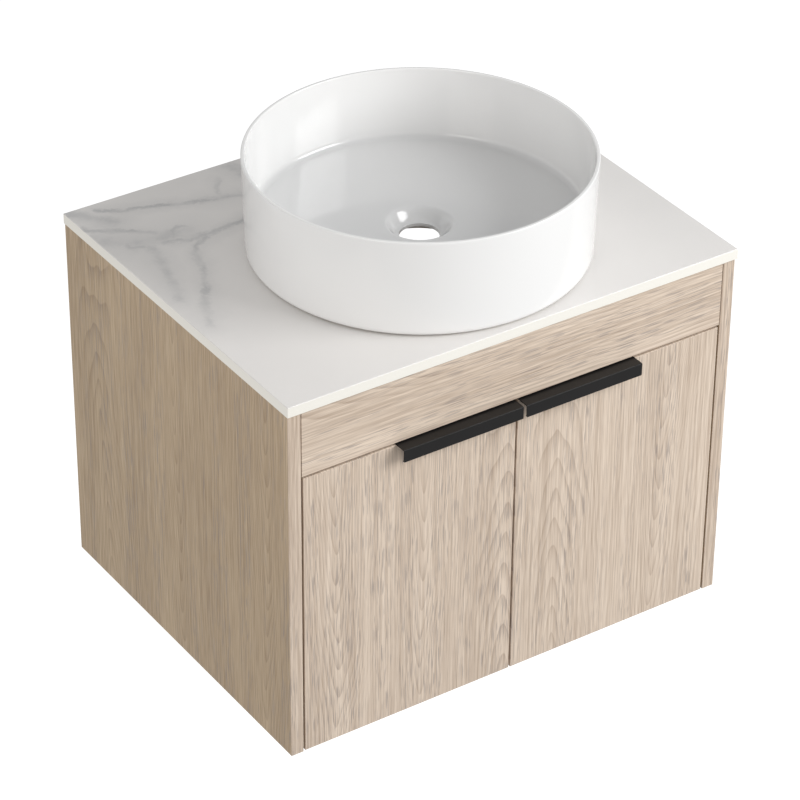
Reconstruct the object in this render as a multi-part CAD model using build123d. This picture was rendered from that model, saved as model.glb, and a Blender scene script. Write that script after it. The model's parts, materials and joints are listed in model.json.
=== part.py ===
"""Wall-hung two-door vanity cabinet with a stone top and a round vessel basin, in millimetres.

Frame: +X to the right seen from the front, +Y towards the wall, +Z up. The origin lies on the wall plane, at
the middle of the cabinet's bottom edge. Doors and hinges are drawn on the left and mirrored to the right.
"""

import math
import os

from build123d import *

# Cabinet carcass
CABINET_W = 597.0
CABINET_D = 480.0
CABINET_H = 457.0
PANEL = 16.0  # thickness of every board
BAND = 1.0  # edge band thickness
FALSE_FRONT_H = 83.2
FALSE_FRONT_SEAM = 1.0  # gap between the false front and each side panel
FRONT_RAIL_DROP = 22.0  # how far the front rail reaches below the false front, as the doors' upper stop
REAR_RAIL_H = 80.0
REAR_RAIL_DOWELS = (0.2, 0.8)  # places of a rear rail's dowels, as shares of its height
REBATE_OVER = 1.0  # how far the front rail's rebate runs up behind the false front
ARRIS = 0.5  # softened edge of bands and boards

# Doors
DOOR_SIDE_GAP = 2.5
DOOR_MID_GAP = 2.5
DOOR_BOTTOM = 0.5
DOOR_TOP_GAP = 2.8  # door board's top to the false front, with the handle's flange in it
DOOR_BACK_GAP = 1.5  # behind the closed doors, taken up by the bumpers
DOOR_SWING = 95.0

# Stone top
STONE_T = 13.0
STONE_SIDE_OVER = 1.5
STONE_FRONT_OVER = 2.5
STONE_ARRIS = 1.0
STONE_WASTE_R = 60.0  # cut-out under the basin, wide enough for a waste's nut

# Vessel basin
BASIN_R = 200.0  # outside, at the rim
BASIN_H = 120.0
BASIN_DRAFT = 3.0  # how much smaller the wall's radius is at the foot
BASIN_WALL = 4.5
BASIN_X = 2.5  # basin's centre, right of the cabinet's middle
BASIN_BACK_GAP = 80.0  # clear space between the basin and the wall
BASIN_FOOT_ROUND = 8.0
BASIN_RIM_ROUND = 1.2
BASIN_FLOOR_EDGE = 32.0  # height of the floor where it meets the wall's fillet
BASIN_FLOOR_FILLET = 8.0
BASIN_DIMPLE_R = 40.0
BASIN_DIMPLE_H = 29.0
BASIN_WASTE_H = 14.5
BASIN_WASTE_R = 23.0
BASIN_WASTE_LIP = 1.0
BASIN_FOOT_RING = 12.0
BASIN_BOSS_R = 48.0
BASIN_BOSS_LIFT = 10.0  # the boss's underside above the stone's seal
BASIN_RECESS = 18.0  # depth of the hollow under the basin
SEAL_T = 1.0
SEAL_INSET = 2.0

# Edge-pull handles
HANDLE_L = 158.6
HANDLE_MID_INSET = 0.9  # handle's inner end to the door's meeting edge
HANDLE_T = 1.2
HANDLE_REACH = 15.5
HANDLE_LIP = 16.2
HANDLE_RETURN = 3.0
HANDLE_BEND = 0.9  # outer radius of the pull's bends
HANDLE_COVER = 14.0  # how far the flange lies over the door's top edge
HANDLE_CORNER = 2.0
HANDLE_SCREW_PITCH = 100.0
HANDLE_SCREW_L = 20.0
HANDLE_SCREW_R = 1.5

# Carcass fittings
FIT = 0.05  # radial clearance of a pin, dowel or screw in its hole
DOWEL_R = 4.0
DOWEL_L = 30.0
DOWEL_IN_SIDE = 12.0
DOWEL_EDGE = 12.0  # dowel's axis from the edge of the front rail
BOTTOM_DOWELS = (0.13, 0.93)  # places of the bottom panel's fittings, as shares of its depth from the wall
BOTTOM_CAMS = (0.24, 0.82)
CAM_R = 7.5
CAM_PAST_BOLT = 4.5  # depth of the cam's body past the bolt's axis
CAM_INSET = 24.0  # cam's axis from the end of its board
CAM_SLOT_L = 10.0
CAM_SLOT_W = 1.5
CAM_SLOT_D = 1.5
CAM_BOLT_R = 3.0
CAM_BOLT_HEAD_R = 3.5
CAM_BOLT_HEAD_L = 3.0
CAM_BOLT_PLAY = 0.2  # round the bolt's head in the cam
CAM_TUNNEL_PLAY = 0.5  # round the bolt's head in the board
CAM_BOLT_THREAD_R = 2.5
CAM_BOLT_IN_SIDE = 11.0
SCREW_R = 2.0
SCREW_HEAD_R = 4.0
SCREW_HEAD_H = 2.0
FALSE_FRONT_SCREWS = (-0.75, -0.25, 0.25, 0.75)  # places along the false front, as shares of its half length
FALSE_FRONT_COVER = 4.0  # wood left in front of each screw's tip
WALL_HOLE_R = 4.5
WALL_HOLE_INSET = 82.5  # wall hole's axis from the side panel's inner face
BUMPER_R = 4.0
BUMPER_T = 1.3
BUMPER_INSET = 20.0

# Concealed hinges, in a local frame: u runs from the side panel's inner face towards the cabinet's middle, v
# from the front plane towards the wall
HINGE_END = 80.0  # hinge's middle from the door's top or bottom edge
POLE = (3.5, 2.5)  # the line about which the door swings
CUP_U = 23.0
CUP_R = 17.5
CUP_DEPTH = 12.0
CUP_WALL = 1.0
CUP_PLATE_T = 1.2
CUP_PLATE_W = 14.0
CUP_PLATE_L = 60.0
CUP_SCREW_PITCH = 48.0
CUP_SCREW_OFFSET = 6.0
CUP_SCREW_R = 1.75
CUP_SCREW_L = 11.0
CUP_SCREW_HEAD_R = 3.2
CUP_SCREW_HEAD_H = 1.8
LINK_HALF_W = 1.15
LINK_EYE_R = 2.0
LINK_END_R = 1.5
LINK_HALF_Z = 3.0
LINK_BOW_AT = 7.8  # how far along the link its bow is
LINK_FLOOR_GAP = 0.35  # the bow's underside to the cup's floor
HINGE_PIN_R = 1.2
CUP_PIN_INSET = 3.3  # cup pin's axis from the cup's outermost edge
ARM_REACH = 30.0  # nose pivot's distance from the pole
ARM_NOSE_R = 2.1
ARM_NOSE_CLEAR = 0.4  # nose to the cup's floor
ARM_SHEET = 1.2
ARM_END_V = 84.0
ARM_LOW_U = 6.0
ARM_HIGH_U = 15.0
ARM_OUTER_BENDS = ((33.2, 8.0), (23.0, 22.0), (ARM_HIGH_U, 29.0))  # u, and v behind the closed door
ARM_INNER_BENDS = ((ARM_LOW_U, 27.0), (20.0, 14.0), (28.0, 3.0))
ARM_NECK_V = 3.0  # how far the neck's straight stretch reaches into the cup
ARM_BARE_V = 1.0  # the nose's cheeks are bare up to this depth in the cup
ARM_GAP_Z = 0.5  # link to arm cheek
RIVET_HEAD_R = 1.9
RIVET_HEAD_H = 0.6
PLATE_T = 2.0
PLATE_V = 53.0
PLATE_W = 16.0
PLATE_L = 48.0
PLATE_SCREW_PITCH = 32.0
BLOCK_HALF_Z = 6.0
BLOCK_START_V = 46.0
ARM_SCREW_V = 68.0
ARM_SCREW_TIP_U = 1.0
ARM_SCREW_HEAD_R = 3.5
ARM_SCREW_HEAD_H = 1.6
PLATE_SCREW_R = 2.5
PLATE_SCREW_L = 11.0

# Worked out from the values above
FRONT_Y = -CABINET_D
INNER_X = CABINET_W / 2 - PANEL
CAM_H = PANEL / 2 + CAM_PAST_BOLT
DOOR_BACK_Y = FRONT_Y + PANEL
RAIL_BACK_Y = DOOR_BACK_Y + PANEL
BOTTOM_FRONT_Y = DOOR_BACK_Y + DOOR_BACK_GAP
FALSE_FRONT_Z = CABINET_H - FALSE_FRONT_H
DOOR_TOP = FALSE_FRONT_Z - DOOR_TOP_GAP
STONE_TOP_Z = CABINET_H + STONE_T
BASIN_Z = STONE_TOP_Z + SEAL_T
DOOR_EDGE_X = -INNER_X + DOOR_SIDE_GAP
DOOR_MEET_X = -DOOR_MID_GAP / 2
HANDLE_END_X = DOOR_MEET_X - HANDLE_MID_INSET
BASIN_Y = -BASIN_R - BASIN_BACK_GAP
BASIN_LOW_R = BASIN_R - BASIN_DRAFT  # wall's outside just above the foot
BASIN_FOOT_R = BASIN_LOW_R - BASIN_FOOT_ROUND
WALL_HOLE_X = INNER_X - WALL_HOLE_INSET
HINGE_HEIGHTS = (DOOR_BOTTOM + HINGE_END, DOOR_TOP - HINGE_END)
CUP_FLOOR_V = PANEL - CUP_DEPTH + CUP_WALL
CUP_PIN_FROM_POLE = CUP_U - CUP_R + CUP_PIN_INSET - POLE[0]
NOSE_ANGLE = math.degrees(math.asin((CUP_FLOOR_V + ARM_NOSE_R + ARM_NOSE_CLEAR - POLE[1]) / ARM_REACH))
LINK_CHEEK_Z = LINK_HALF_Z + ARM_GAP_Z
ARM_HALF_Z = LINK_CHEEK_Z + ARM_SHEET


def block(x0, x1, y0, y1, z0, z1):
    """A box between two corners."""
    centre = Pos((x0 + x1) / 2, (y0 + y1) / 2, (z0 + z1) / 2)
    return centre * Box(x1 - x0, y1 - y0, z1 - z0)


def rod(start, end, radius):
    """A round bar between two points."""
    axis = Vector(*end) - Vector(*start)
    plane = Plane(origin=start, z_dir=axis)
    return plane * Cylinder(radius, axis.length, align=(Align.CENTER, Align.CENTER, Align.MIN))


def mirrored(shape):
    """The same piece on the other side of the cabinet's middle."""
    return mirror(shape, about=Plane.YZ)


def both_sides(shapes):
    """A list of right-hand pieces followed by their left-hand copies."""
    return list(shapes) + [mirrored(shape) for shape in shapes]


def group(shapes):
    """Several separate solids as one node."""
    return Compound([solid for shape in shapes for solid in shape.solids()])


# ---------------------------------------------------------------- joints between boards

def board_joints():
    """Each board's end joints: dowel points, cam points, the cam's bore direction and its open face."""
    bottom_z = PANEL / 2
    rail_y = (DOOR_BACK_Y + RAIL_BACK_Y) / 2
    rear_y = -PANEL / 2
    rail_low = FALSE_FRONT_Z - FRONT_RAIL_DROP
    rail_mid = (FALSE_FRONT_Z + CABINET_H) / 2
    depth = -BOTTOM_FRONT_Y
    top_z = CABINET_H - REAR_RAIL_H
    return {
        "bottom_panel": {
            "dowels": [(-depth * share, bottom_z) for share in BOTTOM_DOWELS],
            "cams": [(-depth * share, bottom_z) for share in BOTTOM_CAMS],
            "bore": (0, 0, 1),
            "face": 0.0,
        },
        "front_rail": {
            "dowels": [(rail_y, rail_low + DOWEL_EDGE), (rail_y, CABINET_H - DOWEL_EDGE)],
            "cams": [(rail_y, rail_mid)],
            "bore": (0, -1, 0),
            "face": RAIL_BACK_Y,
        },
        "rear_top_rail": {
            "dowels": [(rear_y, top_z + REAR_RAIL_H * share) for share in REAR_RAIL_DOWELS],
            "cams": [(rear_y, top_z + REAR_RAIL_H / 2)],
            "bore": (0, 1, 0),
            "face": -PANEL,
        },
        "rear_bottom_rail": {
            "dowels": [(rear_y, PANEL + REAR_RAIL_H * share) for share in REAR_RAIL_DOWELS],
            "cams": [(rear_y, PANEL + REAR_RAIL_H / 2)],
            "bore": (0, 1, 0),
            "face": -PANEL,
        },
    }


def dowel(point, clearance=0.0):
    """A wooden dowel across the joint between a board's end and the right side panel."""
    y, z = point
    outer = INNER_X + DOWEL_IN_SIDE + clearance
    inner = INNER_X + DOWEL_IN_SIDE - DOWEL_L - clearance
    return rod((inner, y, z), (outer, y, z), DOWEL_R + clearance)


def cam_cylinder(point, bore, face, clearance=0.0):
    """The space of one cam lock, sunk from the board's face along its bore."""
    y, z = point
    start = (INNER_X - CAM_INSET, face if bore[1] else y, face if bore[2] else z)
    depth = CAM_H + clearance
    end = tuple(s + depth * b for s, b in zip(start, bore))
    return rod(start, end, CAM_R + clearance)


def cam_bolt(point):
    """A cam bolt: thread in the side panel, shank in the board and a head held by the cam."""
    y, z = point
    head_x = INNER_X - CAM_INSET + CAM_BOLT_HEAD_L / 2
    thread = rod((INNER_X, y, z), (INNER_X + CAM_BOLT_IN_SIDE, y, z), CAM_BOLT_THREAD_R)
    shank = rod((head_x, y, z), (INNER_X, y, z), CAM_BOLT_R)
    head = rod((head_x - CAM_BOLT_HEAD_L, y, z), (head_x, y, z), CAM_BOLT_HEAD_R)
    return thread + shank + head


def cam_lock(point, bore, face):
    """A cam lock: a round body with a tunnel for the bolt's head and a cross slot in its face."""
    y, z = point
    body = cam_cylinder(point, bore, face)
    tunnel_end = INNER_X - CAM_INSET - CAM_BOLT_HEAD_L
    tunnel = rod((tunnel_end, y, z), (INNER_X, y, z), CAM_BOLT_HEAD_R + CAM_BOLT_PLAY)
    mid = (INNER_X - CAM_INSET, face if bore[1] else y, face if bore[2] else z)
    slot_half, slot_w, slot_d = CAM_SLOT_L / 2, CAM_SLOT_W / 2, CAM_SLOT_D
    if bore[2]:
        slots = [(slot_half, slot_w, slot_d), (slot_w, slot_half, slot_d)]
    else:
        slots = [(slot_half, slot_d, slot_w), (slot_w, slot_d, slot_half)]
    for half in slots:
        low = [m - h for m, h in zip(mid, half)]
        high = [m + h for m, h in zip(mid, half)]
        body -= block(low[0], high[0], low[1], high[1], low[2], high[2])
    return body - tunnel


def end_holes(name):
    """Every hole that the joints of one board need, at both of its ends."""
    joint = board_joints()[name]
    holes = [dowel(point, FIT) for point in joint["dowels"]]
    for point in joint["cams"]:
        y, z = point
        holes.append(cam_cylinder(point, joint["bore"], joint["face"], FIT))
        tunnel_r = CAM_BOLT_HEAD_R + CAM_TUNNEL_PLAY
        holes.append(rod((INNER_X - CAM_INSET, y, z), (INNER_X, y, z), tunnel_r))
    return both_sides(holes)


def side_holes():
    """Every hole that the boards' joints need in the right side panel."""
    holes = []
    for joint in board_joints().values():
        holes += [dowel(point, FIT) for point in joint["dowels"]]
        for y, z in joint["cams"]:
            depth = CAM_BOLT_IN_SIDE + FIT
            holes.append(rod((INNER_X, y, z), (INNER_X + depth, y, z), CAM_BOLT_THREAD_R + FIT))
    return holes


# ---------------------------------------------------------------- carcass

def side_panel():
    """The right side panel, behind its front edge band."""
    panel = block(INNER_X, INNER_X + PANEL, FRONT_Y + BAND, 0, 0, CABINET_H)
    panel -= side_holes()
    return panel - [mirrored(hole) for hole in placed_hinges(plate_screws, FIT)]


def side_edge_band():
    """The right side panel's front edge band, with softened corners."""
    band = block(INNER_X, INNER_X + PANEL, FRONT_Y, FRONT_Y + BAND, 0, CABINET_H)
    front = band.faces().sort_by(Axis.Y)[0]
    return fillet(front.edges().filter_by(Axis.Z), ARRIS)


def bottom_panel():
    """The floor of the cabinet, behind the doors."""
    panel = block(-INNER_X, INNER_X, BOTTOM_FRONT_Y + BAND, 0, 0, PANEL)
    return panel - end_holes("bottom_panel")


def bottom_edge_band():
    """The bottom panel's front edge band."""
    return block(-INNER_X, INNER_X, BOTTOM_FRONT_Y, BOTTOM_FRONT_Y + BAND, 0, PANEL)


def front_rail():
    """The rail behind the false front, rebated below it to clear the closed doors."""
    low = FALSE_FRONT_Z - FRONT_RAIL_DROP
    rail = block(-INNER_X, INNER_X, DOOR_BACK_Y, RAIL_BACK_Y, low, CABINET_H)
    rail -= block(-INNER_X, INNER_X, DOOR_BACK_Y, BOTTOM_FRONT_Y, low, FALSE_FRONT_Z + REBATE_OVER)
    rail -= end_holes("front_rail")
    return rail - [screw(FIT) for screw in false_front_screw_makers()]


def false_front():
    """The fixed board above the doors."""
    half = INNER_X - FALSE_FRONT_SEAM
    board = block(-half, half, FRONT_Y, DOOR_BACK_Y, FALSE_FRONT_Z, CABINET_H)
    board = fillet(board.faces().sort_by(Axis.Y)[0].edges(), ARRIS)
    return board - [screw(FIT) for screw in false_front_screw_makers()]


def false_front_screw_makers():
    """One maker for each screw that holds the false front, evenly spaced along it."""
    z = (FALSE_FRONT_Z + CABINET_H) / 2
    tip_y = FRONT_Y + FALSE_FRONT_COVER
    head_y = RAIL_BACK_Y + SCREW_HEAD_H

    def maker(x):
        def screw(clearance=0.0):
            shank = rod((x, tip_y - clearance, z), (x, RAIL_BACK_Y, z), SCREW_R + clearance)
            if clearance:
                return shank
            return shank + rod((x, RAIL_BACK_Y, z), (x, head_y, z), SCREW_HEAD_R)

        return screw

    return [maker(INNER_X * share) for share in FALSE_FRONT_SCREWS]


def rear_rail(name, low):
    """One of the two boards across the back, with its two wall-fixing holes."""
    rail = block(-INNER_X, INNER_X, -PANEL, 0, low, low + REAR_RAIL_H)
    middle = low + REAR_RAIL_H / 2
    for x in (-WALL_HOLE_X, WALL_HOLE_X):
        rail -= rod((x, -PANEL, middle), (x, 0, middle), WALL_HOLE_R)
    return rail - end_holes(name)


# ---------------------------------------------------------------- stone top and basin

def stone_top():
    """The stone slab with its waste hole and softened upper edges."""
    half = CABINET_W / 2 + STONE_SIDE_OVER
    slab = block(-half, half, FRONT_Y - STONE_FRONT_OVER, 0, CABINET_H, STONE_TOP_Z)
    top = slab.faces().sort_by(Axis.Z)[-1]
    slab = fillet(top.edges(), STONE_ARRIS)
    low_edges = slab.faces().sort_by(Axis.Z)[0].edges().filter_by(Axis.X)
    slab = fillet(low_edges.sort_by(Axis.Y)[0], ARRIS)
    return slab - rod((BASIN_X, BASIN_Y, CABINET_H), (BASIN_X, BASIN_Y, STONE_TOP_Z), STONE_WASTE_R)


def basin():
    """The round basin, turned from one section: foot, wall, rim, floor, dimple, waste hole and hollow."""
    inner = BASIN_R - BASIN_WALL
    low_inner = inner - BASIN_DRAFT
    rim = BASIN_RIM_ROUND
    floor_r = low_inner - BASIN_FLOOR_FILLET
    lip_r = BASIN_WASTE_R + BASIN_WASTE_LIP
    hollow_r = BASIN_FOOT_R - BASIN_FOOT_RING
    diagonal = 1 - math.sqrt(0.5)
    with BuildPart() as turned:
        with BuildSketch(Plane.XZ):
            with BuildLine():
                Line((hollow_r, 0), (BASIN_FOOT_R, 0))
                foot_mid = (BASIN_LOW_R - BASIN_FOOT_ROUND * diagonal, BASIN_FOOT_ROUND * diagonal)
                ThreePointArc((BASIN_FOOT_R, 0), foot_mid, (BASIN_LOW_R, BASIN_FOOT_ROUND))
                Line((BASIN_LOW_R, BASIN_FOOT_ROUND), (BASIN_R, BASIN_H - rim))
                outer_mid = (BASIN_R - rim * diagonal, BASIN_H - rim * diagonal)
                ThreePointArc((BASIN_R, BASIN_H - rim), outer_mid, (BASIN_R - rim, BASIN_H))
                Line((BASIN_R - rim, BASIN_H), (inner + rim, BASIN_H))
                inner_mid = (inner + rim * diagonal, BASIN_H - rim * diagonal)
                ThreePointArc((inner + rim, BASIN_H), inner_mid, (inner, BASIN_H - rim))
                fillet_top = BASIN_FLOOR_EDGE + BASIN_FLOOR_FILLET
                Line((inner, BASIN_H - rim), (low_inner, fillet_top))
                floor_in = BASIN_FLOOR_FILLET * diagonal
                floor_mid = (low_inner - floor_in, BASIN_FLOOR_EDGE + floor_in)
                ThreePointArc((low_inner, fillet_top), floor_mid, (floor_r, BASIN_FLOOR_EDGE))
                slope = (BASIN_FLOOR_EDGE - BASIN_DIMPLE_H) / (floor_r - BASIN_DIMPLE_R)
                Line((floor_r, BASIN_FLOOR_EDGE), (BASIN_DIMPLE_R, BASIN_DIMPLE_H))
                Spline(
                    (BASIN_DIMPLE_R, BASIN_DIMPLE_H),
                    (lip_r, BASIN_WASTE_H),
                    tangents=((-1, -slope), (-1, 0)),
                )
                lip_z = BASIN_WASTE_H - BASIN_WASTE_LIP
                lip_in = BASIN_WASTE_LIP * diagonal
                lip_mid = (BASIN_WASTE_R + lip_in, BASIN_WASTE_H - lip_in)
                ThreePointArc((lip_r, BASIN_WASTE_H), lip_mid, (BASIN_WASTE_R, lip_z))
                Line((BASIN_WASTE_R, lip_z), (BASIN_WASTE_R, BASIN_BOSS_LIFT))
                Line((BASIN_WASTE_R, BASIN_BOSS_LIFT), (BASIN_BOSS_R, BASIN_BOSS_LIFT))
                Line((BASIN_BOSS_R, BASIN_BOSS_LIFT), (BASIN_BOSS_R, BASIN_RECESS))
                Line((BASIN_BOSS_R, BASIN_RECESS), (hollow_r, BASIN_RECESS))
                Line((hollow_r, BASIN_RECESS), (hollow_r, 0))
            make_face()
        revolve(axis=Axis.Z)
    return Pos(BASIN_X, BASIN_Y, BASIN_Z) * turned.part


def basin_seal():
    """The sealant ring between the basin's foot and the stone."""
    outer_r = BASIN_FOOT_R - SEAL_INSET
    inner_r = BASIN_FOOT_R - BASIN_FOOT_RING + SEAL_INSET
    low = (BASIN_X, BASIN_Y, STONE_TOP_Z)
    high = (BASIN_X, BASIN_Y, BASIN_Z)
    return rod(low, high, outer_r) - rod(low, high, inner_r)


# ---------------------------------------------------------------- doors, drawn on the left

def door_blank():
    """The left door's outside, board and bands together, with its front edges softened."""
    blank = block(DOOR_EDGE_X, DOOR_MEET_X, FRONT_Y, DOOR_BACK_Y, DOOR_BOTTOM, DOOR_TOP)
    return fillet(blank.faces().sort_by(Axis.Y)[0].edges(), ARRIS)


def door_core():
    """The space of the door's board inside its four bands."""
    low_x, high_x = DOOR_EDGE_X + BAND, DOOR_MEET_X - BAND
    return block(low_x, high_x, FRONT_Y, DOOR_BACK_Y, DOOR_BOTTOM + BAND, DOOR_TOP - BAND)


def door():
    """The left door's board, bored for its hinge cups and handle screws."""
    board = door_blank() & door_core()
    board -= placed_hinges(cup_bore)
    board -= placed_hinges(cup_screws, FIT)
    return board - handle_screws(FIT)


def door_edge_bands():
    """The left door's four edge bands: two full-height ones and two between them."""
    ring = door_blank() - door_core() - handle_screws(FIT)
    low_x, high_x = DOOR_EDGE_X + BAND, DOOR_MEET_X - BAND
    middle = block(low_x, high_x, FRONT_Y, DOOR_BACK_Y, DOOR_BOTTOM, DOOR_TOP)
    return group([ring & middle, ring - middle])


def handle():
    """The left edge-pull: a flange over the door's top edge, a front lip and its inward return."""
    low_x, high_x = HANDLE_END_X - HANDLE_L, HANDLE_END_X
    front, back = FRONT_Y - HANDLE_REACH, FRONT_Y + HANDLE_COVER
    top = DOOR_TOP + HANDLE_T
    low = top - HANDLE_LIP
    flange = block(low_x, high_x, front, back, DOOR_TOP, top)
    lip = block(low_x, high_x, front, front + HANDLE_T, low, top)
    hook = block(low_x, high_x, front, front + HANDLE_RETURN, low, low + HANDLE_T)
    pull = flange + lip + hook
    outer = pull.edges().filter_by(Axis.X).group_by(Axis.Y)[0]
    pull = fillet(outer, HANDLE_BEND)
    with BuildPart() as silhouette:
        with BuildSketch(Plane.XZ.offset(-back)):
            with Locations(((low_x + high_x) / 2, top)):
                RectangleRounded(HANDLE_L, 2 * HANDLE_LIP, HANDLE_CORNER)
        extrude(amount=back - front)
    return (pull & silhouette.part) - handle_screws(FIT)


def handle_screws(clearance=0.0):
    """The two countersunk screws from the flange down into the door's top edge."""
    middle = HANDLE_END_X - HANDLE_L / 2
    y = (FRONT_Y + DOOR_BACK_Y) / 2
    top = DOOR_TOP + HANDLE_T
    screws = []
    for x in (middle - HANDLE_SCREW_PITCH / 2, middle + HANDLE_SCREW_PITCH / 2):
        radius = HANDLE_SCREW_R + clearance
        shank = rod((x, y, top - HANDLE_SCREW_L - clearance), (x, y, top), radius)
        head = Pos(x, y, top - HANDLE_T / 2) * Cone(radius, radius + HANDLE_T, HANDLE_T)
        screws.append(shank + head)
    return screws


def bumpers():
    """The left door's two soft bumpers, near its meeting edge."""
    x = DOOR_MEET_X - BUMPER_INSET
    heights = (PANEL / 2, DOOR_TOP - BAND - FRONT_RAIL_DROP / 2)
    return [rod((x, DOOR_BACK_Y, z), (x, DOOR_BACK_Y + BUMPER_T, z), BUMPER_R) for z in heights]


# ---------------------------------------------------------------- concealed hinges, drawn on the left

def polar(radius, degrees):
    """A point at a distance and an angle, from u towards v, about the pole."""
    angle = math.radians(degrees)
    return POLE[0] + radius * math.cos(angle), POLE[1] + radius * math.sin(angle)


def pivots():
    """The cup's pin and the arm's nose, half a swing apart about the pole, so both ends of the travel fit."""
    cup_angle = NOSE_ANGLE + DOOR_SWING / 2
    cup_radius = CUP_PIN_FROM_POLE / math.cos(math.radians(cup_angle))
    return polar(cup_radius, cup_angle), polar(ARM_REACH, NOSE_ANGLE)


def link_ratio():
    """How far the link turns about the cup's pin for one degree of the door, against the door's sense."""
    pin, nose = pivots()
    open_nose = polar(ARM_REACH, NOSE_ANGLE + DOOR_SWING)
    closed = math.atan2(nose[1] - pin[1], nose[0] - pin[0])
    opened = math.atan2(open_nose[1] - pin[1], open_nose[0] - pin[0])
    return math.degrees(opened - closed) / DOOR_SWING


def placed_hinges(maker, *values):
    """A hinge piece, drawn in its local frame, at each hinge height on the left."""
    made = maker(*values)
    pieces = made if isinstance(made, list) else [made]
    places = [Pos(-INNER_X, FRONT_Y, z) for z in HINGE_HEIGHTS]
    return [place * piece for place in places for piece in pieces]


def plank(half_z, outline):
    """A flat outline in u and v, as thick as twice half_z about the hinge's height."""
    return extrude(Pos(0, 0, -half_z) * outline, 2 * half_z)


def strip(start, end, half_w):
    """A round-ended strip between two points."""
    length = math.dist(start, end)
    angle = math.degrees(math.atan2(end[1] - start[1], end[0] - start[0]))
    middle = ((start[0] + end[0]) / 2, (start[1] + end[1]) / 2)
    return Pos(*middle) * Rot(0, 0, angle) * SlotCenterToCenter(length, 2 * half_w)


def cup_bore():
    """The blind bore for one cup in the back of the door."""
    v = PANEL - CUP_DEPTH - FIT
    return rod((CUP_U, v, 0), (CUP_U, PANEL, 0), CUP_R + FIT)


def hinge_cup():
    """One pressed cup with its screw plate, bored for its pin and screws."""
    face = PANEL + CUP_PLATE_T
    shell = rod((CUP_U, PANEL - CUP_DEPTH, 0), (CUP_U, PANEL, 0), CUP_R)
    low_u = CUP_U + CUP_SCREW_OFFSET - CUP_PLATE_W / 2
    half = CUP_PLATE_L / 2
    shell += block(low_u, low_u + CUP_PLATE_W, PANEL, face, -half, half)
    shell -= rod((CUP_U, CUP_FLOOR_V, 0), (CUP_U, face, 0), CUP_R - CUP_WALL)
    return shell - cup_screws(FIT) - cup_pin(FIT)


def cup_screws(clearance=0.0):
    """The two screws of one cup plate."""
    u = CUP_U + CUP_SCREW_OFFSET
    face = PANEL + CUP_PLATE_T
    screws = []
    for z in (-CUP_SCREW_PITCH / 2, CUP_SCREW_PITCH / 2):
        shank = rod((u, PANEL - CUP_SCREW_L - clearance, z), (u, face, z), CUP_SCREW_R + clearance)
        head = rod((u, face, z), (u, face + CUP_SCREW_HEAD_H, z), CUP_SCREW_HEAD_R)
        screws.append(shank if clearance else shank + head)
    return screws


def cup_pin(clearance=0.0):
    """The pin across one cup, on which the link turns, let into the cup's wall."""
    u, v = pivots()[0]
    outer_side = CUP_U - u + HINGE_PIN_R
    chord = math.sqrt((CUP_R - CUP_WALL / 4) ** 2 - outer_side**2)
    return rod((u, v, -chord), (u, v, chord), HINGE_PIN_R + clearance)


def hinge_link():
    """One bowed link from the cup's pin to the arm's nose, where it ends between the arm's cheeks."""
    pin, nose = pivots()
    length = math.dist(pin, nose)
    along = ((nose[0] - pin[0]) / length, (nose[1] - pin[1]) / length)
    across = (along[1], -along[0])
    straight_v = pin[1] + along[1] * LINK_BOW_AT
    bow_depth = (straight_v - LINK_HALF_W - LINK_FLOOR_GAP - CUP_FLOOR_V) / along[0]
    bow = [pin[i] + along[i] * LINK_BOW_AT + across[i] * bow_depth for i in (0, 1)]
    outline = strip(pin, bow, LINK_HALF_W) + strip(bow, nose, LINK_HALF_W)
    outline += Pos(*pin) * Circle(LINK_EYE_R) + Pos(*nose) * Circle(LINK_END_R)
    outline -= Pos(*pin) * Circle(HINGE_PIN_R + FIT)
    return plank(LINK_HALF_Z, outline)


def arm_outline(inset=0.0):
    """The arm from its nose in the cup back to its plate, narrowed on its inner side for the channel."""
    nose = pivots()[1]
    right, left = nose[0] + ARM_NOSE_R - inset, nose[0] - ARM_NOSE_R
    points = [(right, nose[1]), (right, PANEL)]
    points += [(u - inset, PANEL + v) for u, v in ARM_OUTER_BENDS]
    points += [(ARM_HIGH_U - inset, ARM_END_V), (ARM_LOW_U, ARM_END_V)]
    points += [(u, PANEL + v) for u, v in ARM_INNER_BENDS]
    points += [(left, PANEL - ARM_NECK_V), (left, nose[1])]
    return make_face(Polyline(*points, close=True)) + Pos(*nose) * Circle(ARM_NOSE_R)


def hinge_arm():
    """One arm: a bent channel, open towards the side panel, whose nose is two bare cheeks."""
    nose = pivots()[1]
    arm = plank(ARM_HALF_Z, arm_outline())
    arm -= plank(LINK_CHEEK_Z, arm_outline(ARM_SHEET))
    reach = 2 * ARM_NOSE_R
    bare_v = PANEL - ARM_BARE_V
    arm -= block(nose[0] - reach, nose[0] + reach, nose[1] - reach, bare_v, -LINK_CHEEK_Z, LINK_CHEEK_Z)
    arm -= rod((ARM_LOW_U, ARM_SCREW_V, 0), (ARM_HIGH_U, ARM_SCREW_V, 0), SCREW_R + FIT)
    return arm - rod((*nose, -ARM_HALF_Z), (*nose, ARM_HALF_Z), HINGE_PIN_R + FIT)


def arm_rivets():
    """The two short rivets in one arm's nose, one through each cheek."""
    nose = pivots()[1]
    rivets = []
    for side in (-1, 1):
        inner, outer, cap = (side * z for z in (LINK_CHEEK_Z, ARM_HALF_Z, ARM_HALF_Z + RIVET_HEAD_H))
        shank = rod((*nose, inner), (*nose, outer), HINGE_PIN_R)
        rivets.append(shank + rod((*nose, outer), (*nose, cap), RIVET_HEAD_R))
    return rivets


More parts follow.
